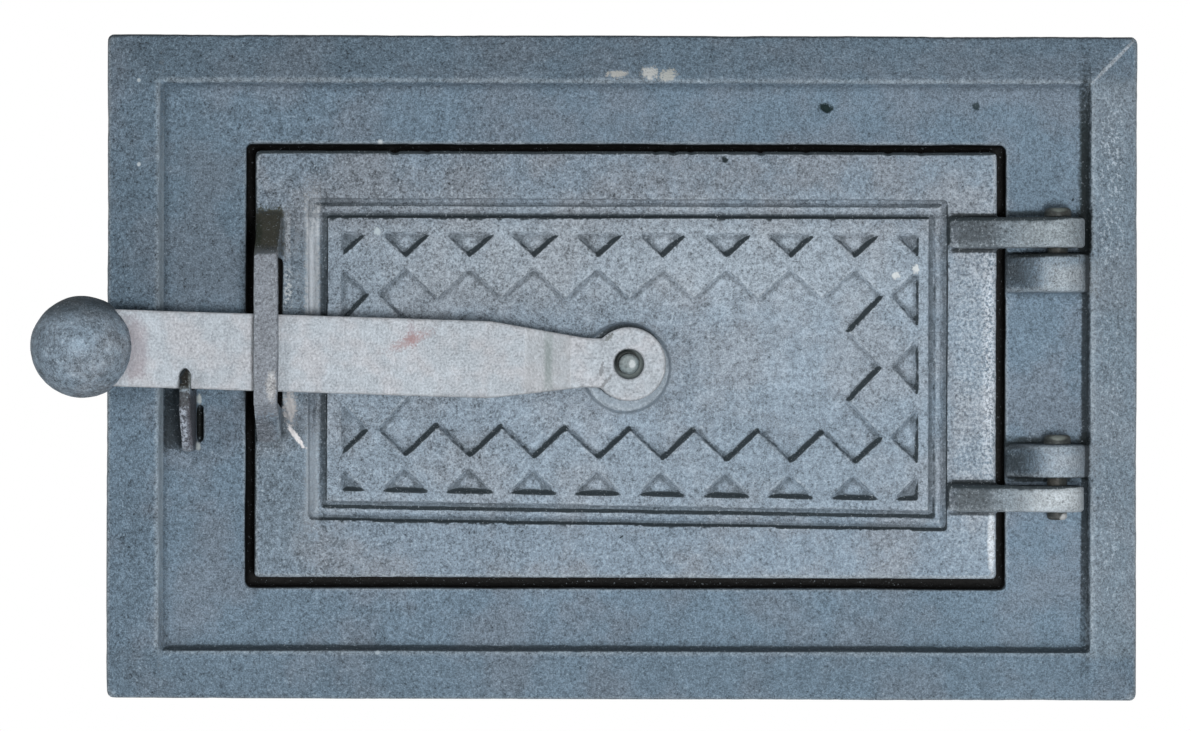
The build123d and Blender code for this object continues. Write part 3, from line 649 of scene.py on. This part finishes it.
# Latch bar
barRecipe = {
    "name": "latchBar", "voxel": 0.38, "soften": 2, "triangles": 110000,
    "ridgePasses": 4, "ridgeFull": 0.12, "waves": [(22.0, 0.12), (5.0, 0.05)],
}
barLook = {
    "cool": (0.284, 0.316, 0.348), "warm": (0.302, 0.316, 0.340), "bright": (0.46, 0.48, 0.50),
    "dark": (0.07, 0.08, 0.09), "cloud": 0.4, "blotch": 0.9, "grain": 1.2, "lines": 0.3,
    "lightAndToneToRight": -0.12, "rubbedFrom": (0.4, 1.0), "rubbed": 0.3, "hollowDirtAndShadeFrom": (0.3, 0.9), "hollowDirtAndShade": 0.6,
    "roughness": 0.5, "metal": 0.2, "specular": 0.2,
    "blotchHeight": 0.12, "grainHeight": 0.08, "lineHeight": 0.03,
    "marks": [
        # rust stain, painted light over the bend with painted shade along its crease, nicks along the lower
        # edge, scratches left of the eye
        {"at": (-54.2, 8.6), "size": (1.3, 4.0), "colour": (0.24, 0.19, 0.21), "share": 0.45, "turn": 10,
         "fray": 2.0, "edge": (0.2, 1.2)},
        {"at": (-54.8, 6.8), "size": (7.0, 1.8), "colour": (0.27, 0.20, 0.205), "share": 0.75, "turn": 24,
         "fray": 2.0, "edge": (0.1, 1.2)},
        {"at": (-54.6, 7.2), "size": (1.6, 2.4), "colour": (0.24, 0.14, 0.14), "share": 0.5, "turn": 24,
         "fray": 1.6, "edge": (0.1, 1.2)},
        {"at": (-19.2, 1.5), "size": (6.0, 14.0), "colour": (0.44, 0.46, 0.48), "share": 0.3,
         "square": True, "fray": 0.05, "edge": (0.96, 1.03)},
        {"at": (-19.1, 1.5), "size": (1.3, 9.0), "colour": (0.18, 0.22, 0.22), "share": 0.7,
         "square": True, "fray": 0.5, "edge": (0.2, 1.3)},
        {"at": (-41.0, -7.6), "size": (8.5, 1.2), "colour": (0.16, 0.17, 0.19), "share": 0.7,
         "speckle": (0.50, 0.60), "square": True},
        {"at": (-5.3, -0.4), "size": (0.6, 2.6), "colour": (0.13, 0.14, 0.15), "share": 0.8, "fray": 1.6,
         "turn": -10},
        {"at": (-4.1, -3.6), "size": (0.5, 2.0), "colour": (0.14, 0.15, 0.16), "share": 0.8, "fray": 1.4,
         "turn": -38},
        {"at": (-3.4, 7.8), "size": (1.5, 0.7), "colour": (0.10, 0.11, 0.11), "share": 0.8, "fray": 1.8,
         "turn": 45},
        # dirt and a painted shadow of the ball round the knob's root, and painted shade in the eye's sink,
        # darkest at its upper left as a painted shadow of the rivet
        {"at": (-126.4, 4.6), "size": (4.4, 9.4), "colour": (0.24, 0.20, 0.22), "share": 0.5,
         "rag": "coarse", "fray": 0.6},
        {"at": (1.8, 0.9), "size": (3.9, 3.9), "colour": (0.10, 0.12, 0.12), "fray": 0.12,
         "edge": (0.90, 1.02)},
        {"at": (1.3, 1.45), "size": (3.4, 3.4), "colour": (0.012, 0.016, 0.016), "fray": 0.12,
         "edge": (0.85, 1.04)},
    ],
}
latchBar = castPiece("latch_lever", "lever", barRecipe)
latchBar.data.materials.append(flatSteel("barSteel", barLook))

# Ball knob
ballRecipe = {
    "name": "ballKnob", "voxel": 0.4, "soften": 1, "triangles": 60000,
    "ridgePasses": 4, "ridgeFull": 0.2, "waves": [(12.0, 0.5), (4.0, 0.16), (1.8, 0.10)],
}
ballLook = {
    **doorLook, "cool": (0.190, 0.246, 0.302), "warm": (0.214, 0.248, 0.286), "mottle": 2.1,
    "behind": (0.190, 0.230, 0.270),
    # painted shade on the upper side of the ball, which faces away from the lamp
    "shadedSide": (0.0, 0.0, 1.0), "shadedSideFrom": (0.43, 0.86), "facingShade": 0.78,
    "lightAndToneToRight": 0.0, "paintedLightToTop": 0.0, "marks": [], "spots": [], "freeOfDirtAndShade": [],
}
ballKnob = castPiece("ball_knob", "lever", ballRecipe)
ballKnob.data.materials.append(castIron("ballIron", ballLook))

# Pins, rivet and washer
pinRecipe = {
    "voxel": 0.2, "soften": 1, "triangles": 24000, "ridgePasses": 3, "ridgeFull": 0.08,
    "waves": [(3.0, 0.05)],
}
pinLook = {
    # near-black pins, painted shade where they show in the gaps between the knuckles
    **barLook, "cool": (0.030, 0.036, 0.036), "warm": (0.040, 0.040, 0.036), "bright": (0.22, 0.24, 0.24),
    "lightAndToneToRight": 0.0, "rubbedFrom": (0.1, 0.8), "rubbed": 0.4, "roughness": 0.5,
    "marks": [
        # painted highlight on the middles of the rounded heads, and the rubbed lower end
        {"at": (113.2, 41.6), "size": (2.2, 1.0), "colour": (0.13, 0.15, 0.14), "share": 0.8, "fray": 0.6},
        {"at": (113.2, -17.9), "size": (2.2, 0.8), "colour": (0.15, 0.17, 0.16), "share": 0.8, "fray": 0.6},
        {"at": (115.0, -39.0), "size": (1.4, 1.6), "colour": (0.60, 0.63, 0.64), "share": 0.8, "fray": 0.6},
    ],
}
pinSteel = flatSteel("pinSteel", pinLook)
for node, name in (("hinge_pin_upper", "upperPin"), ("hinge_pin_lower", "lowerPin")):
    pin = castPiece(node, "frame", {**pinRecipe, "name": name})
    pin.data.materials.append(pinSteel)
rivetLook = {
    **barLook, "cool": (0.130, 0.165, 0.175), "warm": (0.145, 0.170, 0.175), "lightAndToneToRight": 0.0,
    # a painted highlight on the right of the rivet's dome
    "marks": [{"at": (2.6, 0.9), "size": (0.9, 1.3), "colour": (0.50, 0.54, 0.56), "share": 0.6}],
}
rivetSteel = flatSteel("rivetSteel", rivetLook)
for node, name in (("pivot_rivet", "pivotRivet"), ("pivot_washer", "pivotWasher")):
    rivet = castPiece(node, "door", {**pinRecipe, "name": name})
    rivet.data.materials.append(rivetSteel)

# Studio: floor, lamps, surroundings and camera
studio = {
    "floorLevel": -0.45, "floorSide": 3.0, "floorColours": ((0.80, 0.80, 0.80), (0.86, 0.86, 0.86)),
    "fill": 0.10,
    "lamps": [
        {"name": "keyLamp", "at": (0.09, -0.79, -0.085), "side": 0.16, "power": 4.64},
        {"name": "leftLamp", "at": (-0.62, -0.62, 0.04), "side": 0.25, "power": 1.6},
        {"name": "backLamp", "at": (0.30, 0.95, 0.40), "side": 0.45, "power": 7.0},
    ],
}


def whiteForCamera(start, plain, strength):
    # plain light for the object, white where the camera, a reflection or glass looks past it
    path = [start.add("ShaderNodeLightPath", take=name)
            for name in ("Is Camera Ray", "Is Glossy Ray", "Is Transmission Ray")]
    seen = path[0].above(path[1]).above(path[2])
    white = start.add("ShaderNodeBackground", None, {"Color": (1, 1, 1, 1), "Strength": 1.0})
    dim = start.add("ShaderNodeBackground", None, {"Color": (*plain, 1), "Strength": strength})
    return start.add("ShaderNodeMixShader", None, {0: seen, 1: dim, 2: white})


world = bpy.data.worlds.new("studioWorld")
bpy.context.scene.world = world
world.use_nodes = True
world.node_tree.nodes.clear()
start = Wire(world.node_tree)
start.add("ShaderNodeOutputWorld", None, {"Surface": whiteForCamera(start, (1, 1, 1), studio["fill"])})

side = studio["floorSide"] / 2
floorMesh = bpy.data.meshes.new("floor")
floorCorners = [(-side, -side, 0), (side, -side, 0), (side, side, 0), (-side, side, 0)]
floorMesh.from_pydata(floorCorners, [], [(0, 1, 2, 3)])
floor = bpy.data.objects.new("floor", floorMesh)
floor.location.z = studio["floorLevel"]
bpy.context.scene.collection.objects.link(floor)
floorFinish, floorPlace = newFinish("floorPaint")
floorTone = noise(floorPlace, 0.004, 2.0)
endFinish(floorPlace, {"Base Color": mixed(floorTone, *studio["floorColours"]), "Roughness": 0.9})
floorMesh.materials.append(floorFinish)

for lamp in studio["lamps"]:
    data = bpy.data.lights.new(lamp["name"], "AREA")
    data.shape, data.size, data.energy = "DISK", lamp["side"], lamp["power"]
    light = bpy.data.objects.new(lamp["name"], data)
    light.location = lamp["at"]
    light.rotation_mode = "QUATERNION"
    light.rotation_quaternion = (-light.location).to_track_quat("-Z", "Y")
    bpy.context.scene.collection.objects.link(light)

view = {"at": (-0.0069, -1.1, 0.0005), "lens": 126.6, "roll": -0.15}
cameraData = bpy.data.cameras.new("frontCamera")
cameraData.sensor_width, cameraData.lens, cameraData.clip_start = 36.0, view["lens"], 0.05
camera = bpy.data.objects.new("frontCamera", cameraData)
camera.location = view["at"]
camera.rotation_euler = (math.pi / 2, math.radians(view["roll"]), 0.0)
bpy.context.scene.collection.objects.link(camera)
bpy.context.scene.camera = camera
bpy.context.scene.view_settings.view_transform = "Standard"

bpy.context.view_layer.update()
